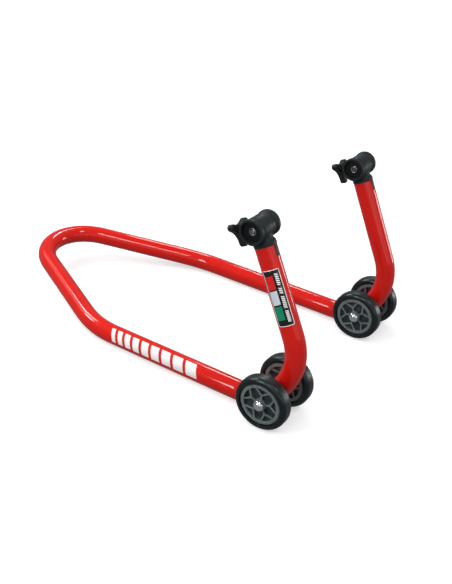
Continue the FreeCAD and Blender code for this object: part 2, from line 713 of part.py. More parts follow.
def main():
    """Write every node of the stand."""
    os.makedirs("parts", exist_ok=True)
    save("frame_tube", frame_tube())
    save_pair("axle_sleeve", axle_sleeve())
    save_pair("axle_welds", axle_welds())
    save_wheels()
    save_pair("axle", axle())
    save_pair("thrust_washers", thrust_washers())
    save_pair("push_rings", push_rings())
    save_pair("axle_caps", axle_caps())
    save_pair("head", on_upright(head()))
    save_pair("bore_liner", on_upright(bore_liner()))
    save_pair("clamp_insert", on_upright(clamp_insert()))
    save_pair("clamp_screw", on_upright(clamp_screw()))
    save_pair("pressure_pad", on_upright(pressure_pad()))
    save_pair("knob", on_upright(knob()))
    save_pair("upright_label", upright_label())
    save_pair("side_stripe", side_stripe())


main()
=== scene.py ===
import json
import math

import bmesh
import bpy
from mathutils import Matrix, Vector


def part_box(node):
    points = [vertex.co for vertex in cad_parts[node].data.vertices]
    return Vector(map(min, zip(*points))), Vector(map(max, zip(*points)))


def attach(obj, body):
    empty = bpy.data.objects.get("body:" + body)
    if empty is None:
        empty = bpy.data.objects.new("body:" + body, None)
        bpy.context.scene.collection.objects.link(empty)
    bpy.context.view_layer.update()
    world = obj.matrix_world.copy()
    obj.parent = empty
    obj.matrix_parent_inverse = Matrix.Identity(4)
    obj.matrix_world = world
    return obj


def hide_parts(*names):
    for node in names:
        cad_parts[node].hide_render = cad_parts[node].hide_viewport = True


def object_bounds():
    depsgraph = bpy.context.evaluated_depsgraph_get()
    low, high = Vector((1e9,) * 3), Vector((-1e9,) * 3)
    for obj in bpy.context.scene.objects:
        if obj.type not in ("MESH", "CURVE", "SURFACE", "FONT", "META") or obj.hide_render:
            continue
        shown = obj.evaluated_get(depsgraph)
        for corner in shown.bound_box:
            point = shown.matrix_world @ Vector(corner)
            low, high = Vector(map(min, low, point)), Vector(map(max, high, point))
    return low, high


bl_info = {
    "name": "Paddock Stand Finish",
    "version": (1, 0, 0),
    "blender": (4, 5, 0),
    "location": "View3D > Sidebar > Paddock Stand",
    "description": "Paint, mouldings, wheels, clamps and studio of a motorcycle paddock stand",
    "category": "Object",
}

# Metres.  +X points from the handle to the heads, +Y to the left, +Z up.

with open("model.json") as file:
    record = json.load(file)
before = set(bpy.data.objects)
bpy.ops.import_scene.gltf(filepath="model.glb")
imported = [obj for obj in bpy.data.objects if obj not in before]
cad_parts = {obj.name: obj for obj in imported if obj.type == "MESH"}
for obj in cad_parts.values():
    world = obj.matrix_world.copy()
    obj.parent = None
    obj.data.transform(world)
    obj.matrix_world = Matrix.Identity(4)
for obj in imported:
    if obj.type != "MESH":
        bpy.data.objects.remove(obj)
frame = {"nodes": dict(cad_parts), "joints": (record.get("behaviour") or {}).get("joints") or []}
CAD_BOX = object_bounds()
NODES = frame["nodes"]

SIDES = ("right", "left")
WHEELS = ("right_outer", "right_inner", "left_inner", "left_outer")
BLACK = (0.0, 0.0, 0.0)
WHITE = (1.0, 1.0, 1.0)


# --- Places read from the frame -------------------------------------------------------

def box_centre(node):
    """Middle of a node's box."""
    low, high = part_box(node)
    return (low + high) / 2


def box_size(node):
    """Edge lengths of a node's box."""
    low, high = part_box(node)
    return high - low


def joint_axis(name):
    """Unit vector along a joint's axis."""
    joint = next(item for item in frame["joints"] if item["name"] == name)
    return Vector(joint["axis"]).normalized()


STAND_MIDDLE = (CAD_BOX[0] + CAD_BOX[1]) / 2
TUBE_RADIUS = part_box("frame_tube")[1].y - box_centre("axle_sleeve_left").y
TUBE_CENTRE_Y = box_centre("axle_sleeve_left").y
AXLE_CENTRE = box_centre("axle_left")
AXLE_SLEEVE_RADIUS = box_size("axle_sleeve_left").z / 2
WHEEL_RADIUS = box_size("tyre_left_outer").z / 2
WHEEL_OFFSET = box_centre("tyre_left_outer").y - TUBE_CENTRE_Y
CLAMP_AXIS = joint_axis("clamp_right_slide")
UPRIGHT_AXIS = Vector((-CLAMP_AXIS.z, 0.0, CLAMP_AXIS.x))
HEAD_CENTRE = box_centre("bore_liner_left")
LINER_REACH = box_size("bore_liner_left").y / 2

# Two sizes that the frame's boxes don't show
RECESS_RADIUS = 0.0186      # of the heads' recessed ends
FOOT_BEND_RADIUS = 0.105    # of the tube's centre line, where it rises from the floor to the axle


# --- Settings -------------------------------------------------------------------------

def colour_property(name, description, default):
    """A colour that the user can change."""
    return bpy.props.FloatVectorProperty(
        name=name, description=description, default=default, subtype="COLOR", size=3, min=0.0, max=1.0)


def length_property(name, description, default):
    """A length in metres that the user can change."""
    return bpy.props.FloatProperty(
        name=name, description=description, default=default, subtype="DISTANCE", unit="LENGTH",
        precision=5)


def share_property(name, description, default):
    """A share from 0 to 1 that the user can change."""
    return bpy.props.FloatProperty(
        name=name, description=description, default=default, subtype="FACTOR", min=0.0, max=1.0)


class PaintSettings(bpy.types.PropertyGroup):
    """Powder coat of the tube frame."""

    colour: colour_property("Colour", "Colour of the powder coat", (0.66, 0.0078, 0.0032))
    deep_colour: colour_property(
        "Deep colour", "Colour where the coat lies thicker", (0.60, 0.0068, 0.0028))
    roughness: share_property("Roughness", "Roughness under the clear surface", 0.45)
    coat: share_property("Coat", "Weight of the glossy surface", 0.8)
    coat_roughness: share_property("Coat roughness", "Roughness of the glossy surface", 0.062)
    peel_size: length_property("Peel size", "Distance between the waves of the surface", 0.0055)
    peel_depth: length_property("Peel depth", "Height of the waves of the surface", 0.00002)


class RubberSettings(bpy.types.PropertyGroup):
    """Rubber of the tyres."""

    colour: colour_property("Colour", "Colour of the rubber", (0.0014, 0.0066, 0.0070))
    scuff_colour: colour_property(
        "Scuff colour", "Colour of scuffed rubber and dust", (0.016, 0.030, 0.032))
    roughness: share_property("Roughness", "Roughness of clean rubber", 0.27)
    grain_size: length_property("Grain size", "Distance between the grains of the surface", 0.0008)
    grain_depth: length_property("Grain depth", "Height of the grains", 0.00002)


class RimSettings(bpy.types.PropertyGroup):
    """Plastic of the wheel rims."""

    colour: colour_property("Colour", "Colour of the ring and the ribs", (0.155, 0.168, 0.168))
    # Painted shade: the recess colour darkens the hollows between the ribs.
    recess_shade_colour: colour_property(
        "Recess colour", "Colour of the hollows between the ribs", (0.016, 0.030, 0.034))
    # Painted highlight: the edge colour lightens the ribs' edges.
    edge_highlight_colour: colour_property("Edge colour", "Colour of the ribs' rubbed edges", (0.36, 0.40, 0.40))
    roughness: share_property("Roughness", "Roughness of the moulding", 0.30)


class MouldingSettings(bpy.types.PropertyGroup):
    """Black plastic of the heads and the knobs."""

    head_colour: colour_property("Head colour", "Colour of the heads", (0.010, 0.0155, 0.017))
    # Painted shade: the recess colour darkens the heads' recessed ends.
    recess_shade_colour: colour_property(
        "Recess colour", "Colour of the heads' recessed ends", (0.0012, 0.0022, 0.0020))
    knob_colour: colour_property("Knob colour", "Colour of the knobs", (0.009, 0.010, 0.0095))
    # Rubbed wear and a painted edge sheen share the rub colour.
    rub_and_sheen_colour: colour_property("Rub colour", "Colour of rubbed edges", (0.045, 0.052, 0.054))
    roughness: share_property("Roughness", "Roughness of the mouldings", 0.47)
    gloss: share_property("Gloss", "Strength of the mouldings' reflections", 0.29)
    grain_size: length_property("Grain size", "Distance between the grains of the surface", 0.0012)
    grain_depth: length_property("Grain depth", "Height of the grains", 0.00005)
    edge_round: length_property("Edge round", "Radius that edges seem to have", 0.0007)


class MetalSettings(bpy.types.PropertyGroup):
    """Bare and plated metal pieces."""

    chrome: colour_property("Chrome", "Colour of the axle caps", (0.86, 0.87, 0.87))
    zinc: colour_property("Zinc", "Colour of axles, washers and screws", (0.62, 0.62, 0.59))
    steel: colour_property("Steel", "Colour of the bores' liners", (0.62, 0.62, 0.62))
    spring: colour_property("Spring steel", "Colour of the push rings", (0.30, 0.30, 0.31))
    brass: colour_property("Brass", "Colour of the threaded inserts", (0.70, 0.50, 0.20))
    nylon: colour_property("Nylon", "Colour of the hub bushes", (0.58, 0.56, 0.49))


class PrintSettings(bpy.types.PropertyGroup):
    """Plain printed films on the tube."""

    film: colour_property("Film", "Ground colour of the label", (0.010, 0.011, 0.011))
    line: colour_property("Line", "Colour of the label's border and bars", (0.95, 0.95, 0.94))
    first: colour_property("First block", "Colour of the upper block", (0.72, 0.014, 0.010))
    second: colour_property("Second block", "Colour of the middle block", (0.62, 0.70, 0.74))
    third: colour_property("Third block", "Colour of the lower block", (0.004, 0.25, 0.13))
    stripe: colour_property("Stripe", "Colour of the bars on the side tubes", (0.86, 0.86, 0.85))
    border: length_property("Border", "Width of the label's border", 0.0011)
    slant: share_property("Slant", "Slope of the label's blocks", 0.12)


class WeldSettings(bpy.types.PropertyGroup):
    """Weld beads round the axle sleeves."""

    bead_radius: length_property("Bead radius", "Half the thickness of a bead", 0.0021)
    ripple_depth: length_property("Ripple depth", "Height of the ripples along a bead", 0.00035)
    ripple_count: bpy.props.IntProperty(
        name="Ripples", description="Number of ripples round a sleeve", default=34, min=8, max=90)


class StudioSettings(bpy.types.PropertyGroup):
    """Camera, lights and floor."""

    azimuth: bpy.props.FloatProperty(
        name="Azimuth", description="Camera's direction round the stand", default=math.radians(30.571),
        subtype="ANGLE", unit="ROTATION")
    elevation: bpy.props.FloatProperty(
        name="Elevation", description="Camera's height above the horizon", default=math.radians(29.23),
        subtype="ANGLE", unit="ROTATION")
    roll: bpy.props.FloatProperty(
        name="Roll", description="Camera's turn about its own axis", default=math.radians(4.943),
        subtype="ANGLE", unit="ROTATION")
    distance: length_property("Distance", "From the camera to the point that it looks at", 1.67996)
    aim: bpy.props.FloatVectorProperty(
        name="Aim", description="Point that the camera looks at, from the middle of the stand",
        default=(0.0976, -0.0017, -0.0999), subtype="TRANSLATION", unit="LENGTH")
    lens: bpy.props.FloatProperty(
        name="Lens", description="Focal length in millimetres", default=51.075, min=10.0, max=200.0)
    sky: colour_property("Sky", "Colour of the light all round", (0.95, 0.97, 1.0))
    sky_strength: share_property("Sky strength", "Strength of the light all round", 0.24)
    backdrop: colour_property("Backdrop", "Colour beyond the floor", (1.0, 1.0, 1.0))
    floor: colour_property("Floor", "Colour of the floor", (0.66, 0.66, 0.66))
    floor_glow: share_property("Floor glow", "Light from the lit panel under the floor", 0.7)


class StandSettings(bpy.types.PropertyGroup):
    """All sizes and colours of the stand's finish."""

    paint: bpy.props.PointerProperty(type=PaintSettings, name="Paint")
    rubber: bpy.props.PointerProperty(type=RubberSettings, name="Rubber")
    rim: bpy.props.PointerProperty(type=RimSettings, name="Rims")
    moulding: bpy.props.PointerProperty(type=MouldingSettings, name="Mouldings")
    metal: bpy.props.PointerProperty(type=MetalSettings, name="Metal")
    film: bpy.props.PointerProperty(type=PrintSettings, name="Printed films")
    weld: bpy.props.PointerProperty(type=WeldSettings, name="Welds")
    studio: bpy.props.PointerProperty(type=StudioSettings, name="Studio")


def settings():
    """The stand's settings in the open scene."""
    return bpy.context.scene.paddock_stand


# --- Nodes ----------------------------------------------------------------------------

def opaque(colour):
    """A colour with full opacity."""
    return (*colour, 1.0)


def shaded(colour, tone):
    """A colour darkened to a share of itself."""
    return tuple(tone * channel for channel in colour)


def add(tree, kind, inputs=None, **options):
    """Add a node, set its options, and set or link its inputs."""
    node = tree.nodes.new(kind)
    for option, value in options.items():
        setattr(node, option, value)
    for socket, value in (inputs or {}).items():
        if isinstance(value, bpy.types.NodeSocket):
            tree.links.new(value, node.inputs[socket])
        else:
            node.inputs[socket].default_value = value
    return node


def calculate(tree, operation, *values):
    """Result of a maths node."""
    return add(tree, "ShaderNodeMath", dict(enumerate(values)), operation=operation).outputs[0]


def product(tree, value, *others):
    """Product of several values."""
    for other in others:
        value = calculate(tree, "MULTIPLY", value, other)
    return value


def remap(tree, value, low, high, to_low=0.0, to_high=1.0, smooth=False):
    """Value moved from one range to another, and clamped there."""
    inputs = {"Value": value, "From Min": low, "From Max": high, "To Min": to_low, "To Max": to_high}
    shape = "SMOOTHSTEP" if smooth else "LINEAR"
    return add(tree, "ShaderNodeMapRange", inputs, interpolation_type=shape).outputs["Result"]


def mix_colours(tree, share, first, second):
    """First colour where share is 0, second where it is 1."""
    node = add(tree, "ShaderNodeMix", {"Factor": share}, data_type="RGBA")
    for socket, value in ((node.inputs[6], first), (node.inputs[7], second)):
        if isinstance(value, bpy.types.NodeSocket):
            tree.links.new(value, socket)
        else:
            socket.default_value = opaque(value)
    return node.outputs[2]


def object_place(tree):
    """Place on the object, which is also its place on the stand."""
    return add(tree, "ShaderNodeTexCoord").outputs["Object"]


def object_coordinates(tree):
    """X, Y and Z of the place on the object."""
    return add(tree, "ShaderNodeSeparateXYZ", {"Vector": object_place(tree)}).outputs


def magnitude(tree, value):
    """Value without its sign."""
    return calculate(tree, "ABSOLUTE", value)


def past_tube(tree, place):
    """Distance along Y outward from the middle plane of the nearer side tube."""
    return calculate(tree, "SUBTRACT", magnitude(tree, place["Y"]), TUBE_CENTRE_Y)


def past_wheel(tree, place):
    """Distance along Y from the middle plane of the nearest wheel, negative toward the tube."""
    return calculate(tree, "SUBTRACT", magnitude(tree, past_tube(tree, place)), WHEEL_OFFSET)


def distance_from_line(tree, place, point):
    """Distance from the line along Y through a point."""
    ahead = calculate(tree, "SUBTRACT", place["X"], point.x)
    above = calculate(tree, "SUBTRACT", place["Z"], point.z)
    squares = calculate(tree, "MULTIPLY_ADD", ahead, ahead, product(tree, above, above))
    return calculate(tree, "SQRT", squares)


def noise(tree, size, detail=2.0, place=None, stretch=None):
    """Noise whose features are about size metres across."""
    place = place or object_place(tree)
    if stretch:
        place = add(tree, "ShaderNodeMapping", {"Vector": place, "Scale": stretch}).outputs["Vector"]
    scale = calculate(tree, "DIVIDE", 1.0, size)
    inputs = {"Vector": place, "Scale": scale, "Detail": detail}
    return add(tree, "ShaderNodeTexNoise", inputs).outputs["Fac"]


def new_group(name, inputs, output):
    """Empty node group with float inputs, given with their defaults, and one output."""
    tree = bpy.data.node_groups.new(name, "ShaderNodeTree")
    for socket, default in inputs.items():
        made = tree.interface.new_socket(socket, in_out="INPUT", socket_type="NodeSocketFloat")
        made.default_value = default
    kind = "NodeSocketVector" if output == "Normal" else "NodeSocketFloat"
    tree.interface.new_socket(output, in_out="OUTPUT", socket_type=kind)
    entry = tree.nodes.new("NodeGroupInput")
    tree.nodes.new("NodeGroupOutput")
    return tree, entry.outputs


def close_group(tree, result):
    """Link the result to the group's output."""
    tree.links.new(result, tree.nodes["Group Output"].inputs[0])
    return tree


def use_group(tree, name, **inputs):
    """Output of a shared group, placed in a tree with its own values."""
    node = add(tree, "ShaderNodeGroup", node_tree=bpy.data.node_groups[name])
    for socket, value in inputs.items():
        node.inputs[socket.replace("_", " ").capitalize()].default_value = value
    return node.outputs[0]


# --- Shared effects -------------------------------------------------------------------

BEVEL_SAMPLES = 6


def make_relief():
    """Fine Relief: coarse and fine unevenness of a surface, from 0 to 1."""
    tree, entry = new_group("Fine Relief", {"Size": 0.002, "Fine": 0.3}, "Height")
    fine_share = 0.2
    coarse = noise(tree, entry["Size"])
    fine = noise(tree, product(tree, entry["Size"], fine_share))
    both = add(tree, "ShaderNodeMix", {"Factor": entry["Fine"], 2: coarse, 3: fine}, data_type="FLOAT")
    return close_group(tree, both.outputs[0])


def make_mottle():
    """Mottle: a value that drifts between Low and High over the surface."""
    tree, entry = new_group("Mottle", {"Size": 0.03, "Low": 0.0, "High": 1.0}, "Value")
    clear, dense = 0.32, 0.68
    cloud = noise(tree, entry["Size"], detail=4.0)
    return close_group(tree, remap(tree, cloud, clear, dense, entry["Low"], entry["High"], smooth=True))


def rounded_normals(tree, radius):
    """Normals of a surface whose edges are rounded."""
    return add(tree, "ShaderNodeBevel", {"Radius": radius}, samples=BEVEL_SAMPLES).outputs[0]


def make_soft_edges():
    """Soft Edges: normals of a surface whose edges are rounded."""
    tree, entry = new_group("Soft Edges", {"Radius": 0.0005}, "Normal")
    return close_group(tree, rounded_normals(tree, entry["Radius"]))


def make_edge_wear_and_glint():
    """Mask of edges, broken up by noise: rubbed wear with a painted sheen on the mouldings, painted
    highlights on the rims' ribs.
    """
    tree, entry = new_group("Edge Wear And Glint", {"Radius": 0.001, "Size": 0.004, "Amount": 0.5}, "Mask")
    flat_match, edge_match = 0.995, 0.88
    whole, rubbed = 0.38, 0.66
    rounded = rounded_normals(tree, entry["Radius"])
    flat = add(tree, "ShaderNodeNewGeometry").outputs["Normal"]
    match = add(tree, "ShaderNodeVectorMath", {0: rounded, 1: flat}, operation="DOT_PRODUCT")
    edge = remap(tree, match.outputs["Value"], flat_match, edge_match)
    patch = remap(tree, noise(tree, entry["Size"], detail=4.0), whole, rubbed)
    return close_group(tree, product(tree, edge, patch, entry["Amount"]))


def make_dust():
    """Settled Dust: mask of faces that look up, in soft patches."""
    tree, entry = new_group("Settled Dust", {"Size": 0.02, "Amount": 0.3}, "Mask")
    steep, level = 0.1, 1.0
    bare, covered = 0.35, 0.75
    normal = add(tree, "ShaderNodeTexCoord").outputs["Normal"]
    up = add(tree, "ShaderNodeSeparateXYZ", {"Vector": normal}).outputs["Z"]
    facing = remap(tree, up, steep, level, smooth=True)
    patch = remap(tree, noise(tree, entry["Size"], detail=6.0), bare, covered)
    return close_group(tree, product(tree, facing, patch, entry["Amount"]))


def make_scratches():
    """Hairlines: mask of thin scratches in one direction, in patches."""
    tree, entry = new_group("Hairlines", {"Size": 0.01, "Amount": 0.3}, "Mask")
    slanted, drawn_out = (0.4, 0.9, 0.3), (0.12, 9.0, 9.0)
    line_side, line_middle = 0.64, 0.68
    clean, scratched, patch_share = 0.5, 0.62, 3.0
    place = add(tree, "ShaderNodeMapping", {"Vector": object_place(tree), "Rotation": slanted})
    lines = noise(tree, entry["Size"], detail=1.0, place=place.outputs["Vector"], stretch=drawn_out)
    thin = remap(tree, lines, line_side, line_middle)
    patch_size = product(tree, entry["Size"], patch_share)
    patch = remap(tree, noise(tree, patch_size), clean, scratched)
    return close_group(tree, product(tree, thin, patch, entry["Amount"]))


def make_shared_effects():
    """Build every shared effect once."""
    for make in (make_relief, make_mottle, make_soft_edges, make_edge_wear_and_glint, make_dust, make_scratches):
        make()


# --- Materials ------------------------------------------------------------------------

def new_material(name, **constants):
    """Material with one Principled shader whose plain values are set on its sockets."""
    material = bpy.data.materials.new(name)
    material.use_nodes = True
    shader = material.node_tree.nodes["Principled BSDF"]
    for socket, value in constants.items():
        shader.inputs[socket.replace("_", " ")].default_value = value
    return material, material.node_tree, shader


def feed(tree, shader, socket, value):
    """Link a varying value to one of the shader's sockets."""
    tree.links.new(value, shader.inputs[socket])


def feed_relief(tree, shader, height, depth, normal=None):
    """Raise the surface by height times depth, over the given normals if there are any."""
    inputs = {"Height": height, "Distance": depth, "Strength": 1.0}
    if normal:
        inputs["Normal"] = normal
    feed(tree, shader, "Normal", add(tree, "ShaderNodeBump", inputs).outputs["Normal"])


def feed_roughness(tree, shader, size, middle, less, more):
    """Roughness that drifts from a little less than its middle value to a little more."""
    drift = use_group(tree, "Mottle", size=size, low=middle - less, high=middle + more)
    feed(tree, shader, "Roughness", drift)


def paint_material():
    """Glossy red powder coat with a slight orange peel."""
    paint = settings().paint
    material, tree, shader = new_material(
        "red_powder_coat", Coat_Weight=paint.coat, Coat_Roughness=paint.coat_roughness, Coat_IOR=1.5,
        Specular_IOR_Level=0.05)
    thick = use_group(tree, "Mottle", size=0.045)
    feed(tree, shader, "Base Color", mix_colours(tree, thick, paint.colour, paint.deep_colour))
    feed_roughness(tree, shader, size=0.018, middle=paint.roughness, less=0.05, more=0.05)
    peel = use_group(tree, "Fine Relief", size=paint.peel_size, fine=0.12)
    feed_relief(tree, shader, peel, paint.peel_depth)
    return material


def rubber_material():
    """Satin black rubber, duller and greyer on the tread."""
    rubber = settings().rubber
    material, tree, shader = new_material("tyre_rubber")
    shoulder_depth, crown_depth, worn_roughness = 0.0022, 0.0002, 0.5
    seam_foot, seam_top, seam_height = 0.0007, 0.0002, 4.0
    place = object_coordinates(tree)
    reach = distance_from_line(tree, place, AXLE_CENTRE)
    tread = remap(tree, reach, WHEEL_RADIUS - shoulder_depth, WHEEL_RADIUS - crown_depth, smooth=True)
    worn = product(tree, tread, use_group(tree, "Mottle", size=0.012, low=0.1, high=0.5))
    dust = use_group(tree, "Settled Dust", size=0.016, amount=0.12)
    grey = calculate(tree, "MAXIMUM", worn, dust)
    feed(tree, shader, "Base Color", mix_colours(tree, grey, rubber.colour, rubber.scuff_colour))
    feed(tree, shader, "Roughness", remap(tree, worn, 0.0, 1.0, rubber.roughness, worn_roughness))
    seam = remap(tree, magnitude(tree, past_wheel(tree, place)), seam_foot, seam_top)
    grain = use_group(tree, "Fine Relief", size=rubber.grain_size, fine=0.4)
    raised = calculate(tree, "MULTIPLY_ADD", product(tree, seam, tread), seam_height, grain)
    feed_relief(tree, shader, raised, rubber.grain_depth)
    return material


def rim_material():
    """Dark grey moulding, with painted shade that makes the hollows between the ribs nearly black, and
    painted highlights on the ribs' edges.
    """
    rim = settings().rim
    material, tree, shader = new_material("rim_plastic")
    hollow, face = 0.0075, 0.0100
    across = magnitude(tree, past_wheel(tree, object_coordinates(tree)))
    # Painted shade: the hollows between the ribs are darkened nearly black by their depth.
    proud = remap(tree, across, hollow, face, smooth=True)
    shade = product(tree, proud, use_group(tree, "Mottle", size=0.02, low=0.85, high=1.0))
    moulded = mix_colours(tree, shade, rim.recess_shade_colour, rim.colour)
    # Painted highlight: the ribs' edges are made paler where they would catch the light.
    rubbed = use_group(tree, "Edge Wear And Glint", radius=0.001, size=0.02, amount=0.75)
    feed(tree, shader, "Base Color", mix_colours(tree, rubbed, moulded, rim.edge_highlight_colour))
    feed_roughness(tree, shader, size=0.01, middle=rim.roughness, less=0.06, more=0.08)
    grain = use_group(tree, "Fine Relief", size=0.0009, fine=0.5)
    feed_relief(tree, shader, grain, depth=0.00003, normal=use_group(tree, "Soft Edges", radius=0.0006))
    return material


def painted_recess_shade(tree):
    """Mask of the recessed ends of the heads' sleeves, which get painted shade."""
    inner_share, step = 0.96, 0.001
    place = object_coordinates(tree)
    from_axis = distance_from_line(tree, place, HEAD_CENTRE)
    within = remap(tree, from_axis, RECESS_RADIUS, inner_share * RECESS_RADIUS)
    from_middle = magnitude(tree, past_tube(tree, place))
    past_liner = remap(tree, from_middle, LINER_REACH - step, LINER_REACH)
    return product(tree, within, past_liner)


def moulding_material(name, colour, grain_size, recessed=False):
    """Grained black plastic with rubbed edges that carry a painted sheen, a little dust, and, if asked,
    painted shade in the heads' recessed ends.
    """
    moulding = settings().moulding
    material, tree, shader = new_material(name, Specular_IOR_Level=moulding.gloss)
    # The edge mask paints rubbed wear together with a painted sheen on the edges.
    wear = use_group(tree, "Edge Wear And Glint", radius=0.0012, size=0.003, amount=0.7)
    dust = use_group(tree, "Settled Dust", size=0.009, amount=0.16)
    pale = calculate(tree, "MAXIMUM", wear, dust)
    ground = colour
    # Painted shade: the heads' recessed ends are darkened nearly black.
    if recessed:
        ground = mix_colours(tree, painted_recess_shade(tree), colour, moulding.recess_shade_colour)
    feed(tree, shader, "Base Color", mix_colours(tree, pale, ground, moulding.rub_and_sheen_colour))
    feed_roughness(tree, shader, size=0.008, middle=moulding.roughness, less=0.07, more=0.09)
    grain = use_group(tree, "Fine Relief", size=grain_size, fine=0.35)
    edges = use_group(tree, "Soft Edges", radius=moulding.edge_round)
    feed_relief(tree, shader, grain, moulding.grain_depth, normal=edges)
    return material


def metal_material(name, colour, roughness, wear=0.25, tone=0.8, rounding=0.0003):
    """Plated or bare metal with hairline scratches and a faint mottle."""
    material, tree, shader = new_material(name, Metallic=1.0)
    smoothest, roughest = 0.8, 1.4
    patches = use_group(tree, "Mottle", size=0.006)
    feed(tree, shader, "Base Color", mix_colours(tree, patches, colour, shaded(colour, tone)))
    cloud = use_group(tree, "Mottle", size=0.004, low=roughness * smoothest, high=roughness * roughest)
    lines = use_group(tree, "Hairlines", size=0.003, amount=wear)
    feed(tree, shader, "Roughness", calculate(tree, "ADD", cloud, lines))
    grain = use_group(tree, "Fine Relief", size=0.0008, fine=0.5)
    feed_relief(tree, shader, grain, depth=0.000004, normal=use_group(tree, "Soft Edges", radius=rounding))
    return material


def nylon_material():
    """Natural nylon of the hub bushes."""
    colour = settings().metal.nylon
    material, tree, shader = new_material("natural_nylon")
    patches = use_group(tree, "Mottle", size=0.004)
    feed(tree, shader, "Base Color", mix_colours(tree, patches, colour, shaded(colour, tone=0.6)))
    feed(tree, shader, "Roughness", use_group(tree, "Mottle", size=0.005, low=0.35, high=0.55))
    feed_relief(tree, shader, use_group(tree, "Fine Relief", size=0.0006, fine=0.4), depth=0.00002)
    return material


def dress(nodes, material):
    """Give CAD nodes a material."""
    for node in nodes:
        mesh = NODES[node].data
        mesh.materials.clear()
        mesh.materials.append(material)


def on_both_sides(*names):
    """Names of nodes that the stand has on its right and its left."""
    return [name + "_" + side for name in names for side in SIDES]


def at_each_wheel(name):
    """Names of a node that each wheel has."""
    return [name + "_" + wheel for wheel in WHEELS]


# --- Label and stripes ----------------------------------------------------------------

def reach_along(node, axis):
    """Least and greatest distance of a node's corners along an axis, from the left head's centre."""
    distances = [(vertex.co - HEAD_CENTRE).dot(axis) for vertex in NODES[node].data.vertices]
    return min(distances), max(distances)


def reach_around(node):
    """Least and greatest arc of a node's corners round the left upright, from its front."""
    arcs = []
    for vertex in NODES[node].data.vertices:
        place = vertex.co - HEAD_CENTRE
        arcs.append(TUBE_RADIUS * math.atan2(place.y, place.dot(CLAMP_AXIS)))
    return min(arcs), max(arcs)


def upright_place(tree):
    """Places along and round either upright, in metres from its head's centre and its front."""
    place = object_coordinates(tree)
    ahead = calculate(tree, "SUBTRACT", place["X"], HEAD_CENTRE.x)
    above = calculate(tree, "SUBTRACT", place["Z"], HEAD_CENTRE.z)

    def along_axis(axis):
        return calculate(tree, "MULTIPLY_ADD", ahead, axis.x, product(tree, above, axis.z))

    turn = calculate(tree, "ARCTAN2", past_tube(tree, place), along_axis(CLAMP_AXIS))
    return along_axis(UPRIGHT_AXIS), product(tree, turn, TUBE_RADIUS)


def between(tree, value, low, high):
    """1 where value lies between two limits."""
    above = calculate(tree, "GREATER_THAN", value, low)
    return product(tree, above, calculate(tree, "LESS_THAN", value, high))


def colour_blocks(tree, share, ground, blocks):
    """Ground colour with plain blocks on it, each given as (start, end, colour)."""
    steps = [(0.0, ground)]
    for start, end, colour in blocks:
        steps += [(start, colour), (end, ground)]
    ramp = add(tree, "ShaderNodeValToRGB", {"Fac": share})
    ramp.color_ramp.interpolation = "CONSTANT"
    stops = ramp.color_ramp.elements
    while len(stops) < len(steps):
        stops.new(1.0)
    for stop, (start, colour) in zip(stops, steps):
        stop.position = start
        stop.color = opaque(colour)
    return ramp.outputs["Color"]


def label_blocks(tree, along, around, limits):
    """Three slanted blocks of colour, one above the other, beside a plain strip."""
    film = settings().film
    (low, high), (front, back) = limits
    strip, margin = 0.0135, 0.0024
    slanted = calculate(tree, "MULTIPLY_ADD", around, film.slant, along)
    share = remap(tree, slanted, low + film.slant * front, high + film.slant * back)
    blocks = colour_blocks(tree, share, film.film, (
        (0.13, 0.37, film.third), (0.395, 0.635, film.second), (0.66, 0.89, film.first)))
    column = between(tree, around, front + strip, back - margin)
    return mix_colours(tree, column, film.film, blocks)


def label_bars(tree, along, around, limits):
    """Mask of a column of slanted bars, in four groups, on the plain strip."""
    (low, high), (front, _) = limits
    slope, pitch, filled = -0.5, 0.0036, 0.62
    near_side, far_side = 0.0042, 0.0098
    slanted = calculate(tree, "MULTIPLY_ADD", around, slope, along)
    within_pitch = calculate(tree, "FRACT", calculate(tree, "DIVIDE", slanted, pitch))
    bar = calculate(tree, "LESS_THAN", within_pitch, filled)
    column = between(tree, around, front + near_side, front + far_side)
    groups = colour_blocks(tree, remap(tree, along, low, high), BLACK, (
        (0.07, 0.27, WHITE), (0.31, 0.53, WHITE), (0.57, 0.68, WHITE), (0.72, 0.93, WHITE)))
    return product(tree, bar, column, groups)


def label_border(tree, along, around, limits):
    """Mask of a border of even width round the label."""
    (low, high), (front, back) = limits
    nearest = calculate(tree, "SUBTRACT", along, low)
    for first, second in ((high, along), (around, front), (back, around)):
        nearest = calculate(tree, "MINIMUM", nearest, calculate(tree, "SUBTRACT", first, second))
    return calculate(tree, "LESS_THAN", nearest, settings().film.border)


def label_material():
    """Printed film: a thin border, three slanted blocks and a column of plain bars."""
    film = settings().film
    material, tree, shader = new_material(
        "printed_label", Coat_Weight=0.5, Coat_Roughness=0.07, Specular_IOR_Level=0.15)
    scratched, wave_count = (0.3, 0.3, 0.3), 30
    low, high = reach_along("upright_label_left", UPRIGHT_AXIS)
    limits = (low, high), reach_around("upright_label_left")
    along, around = upright_place(tree)
    colour = label_blocks(tree, along, around, limits)
    for printed in (label_bars, label_border):
        colour = mix_colours(tree, printed(tree, along, around, limits), colour, film.line)
    lines = use_group(tree, "Hairlines", size=0.006, amount=0.10)
    feed(tree, shader, "Base Color", mix_colours(tree, lines, colour, scratched))
    feed(tree, shader, "Roughness", use_group(tree, "Mottle", size=0.01, low=0.22, high=0.36))
    waves = use_group(tree, "Fine Relief", size=(high - low) / wave_count, fine=0.1)
    feed_relief(tree, shader, waves, depth=0.00002)
    return material


